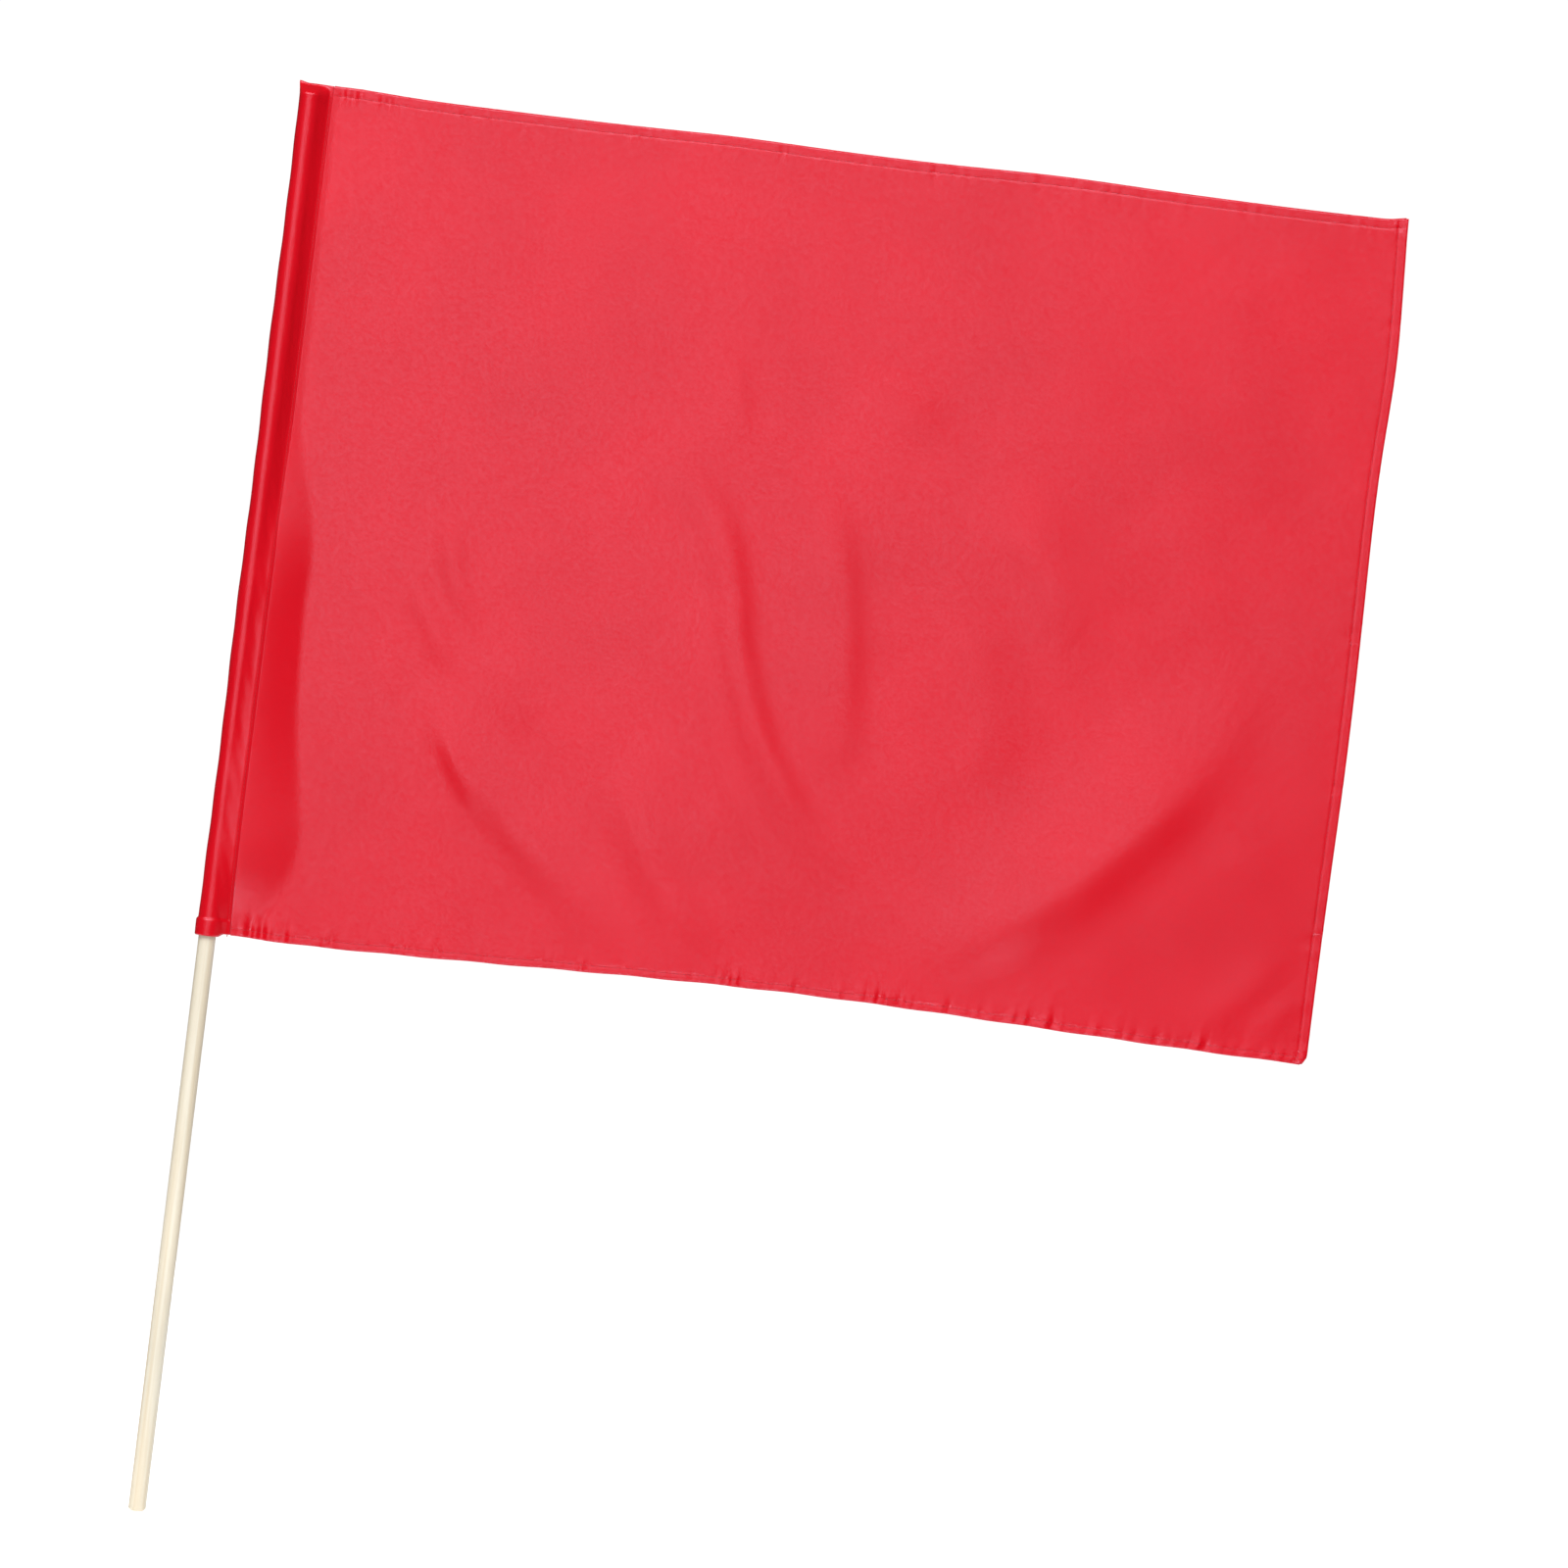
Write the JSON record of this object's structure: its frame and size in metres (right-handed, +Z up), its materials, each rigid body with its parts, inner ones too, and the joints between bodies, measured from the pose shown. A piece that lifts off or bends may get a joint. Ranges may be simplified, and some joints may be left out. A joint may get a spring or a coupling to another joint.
{
  "type": "hand flag",
  "caption": "Plain red satin hand flag on a round wooden stick, with a sewn pole sleeve, a closed sleeve top and stitched hems, for hand signalling and marking.",
  "frame": {"origin": "centre of the stick's flat lower end", "axes": "+Z up the stick, +X from the stick towards the flag's free edge, front of the flag towards -Y"},
  "size_m": [0.7835, 0.0171, 1.006],
  "materials": {
    "satin": "satin",
    "thread": "satin",
    "wood": "matte"
  },
  "bodies": {
    "stick": {"pole": "wood"},
    "sleeve": {"sleeve_mouth_hem": "satin", "sleeve": "satin", "sleeve_top_hem": "satin", "sleeve_seam_needle_thread": "thread", "sleeve_seam_bobbin_thread": "thread"},
    "inner_half": {"field_inner": "satin", "top_hem_inner": "satin", "top_needle_thread_inner": "thread", "top_bobbin_thread_inner": "thread", "bottom_hem_inner": "satin", "bottom_needle_thread_inner": "thread", "bottom_bobbin_thread_inner": "thread"},
    "outer_half": {"field_outer": "satin", "top_hem_outer": "satin", "top_needle_thread_outer": "thread", "top_bobbin_thread_outer": "thread", "bottom_hem_outer": "satin", "bottom_needle_thread_outer": "thread", "bottom_bobbin_thread_outer": "thread", "fly_hem": "satin", "fly_needle_thread": "thread", "fly_bobbin_thread": "thread"}
  },
  "joints": [
    {"name": "sleeve_turn", "type": "hinge", "parent": "stick", "child": "sleeve", "pos_m": [0, 0, 0.7], "axis": [0, 0, 1], "continuous": true},
    {"name": "seam_fold", "type": "hinge", "parent": "sleeve", "child": "inner_half", "pos_m": [0.0145, 0.0048, 0.706], "axis": [0, 0, 1], "range_deg": [-90, 90]},
    {"name": "middle_fold", "type": "hinge", "parent": "inner_half", "child": "outer_half", "pos_m": [0.395, 0.0048, 0.706], "axis": [0, 0, 1], "range_deg": [-120, 120]}
  ]
}
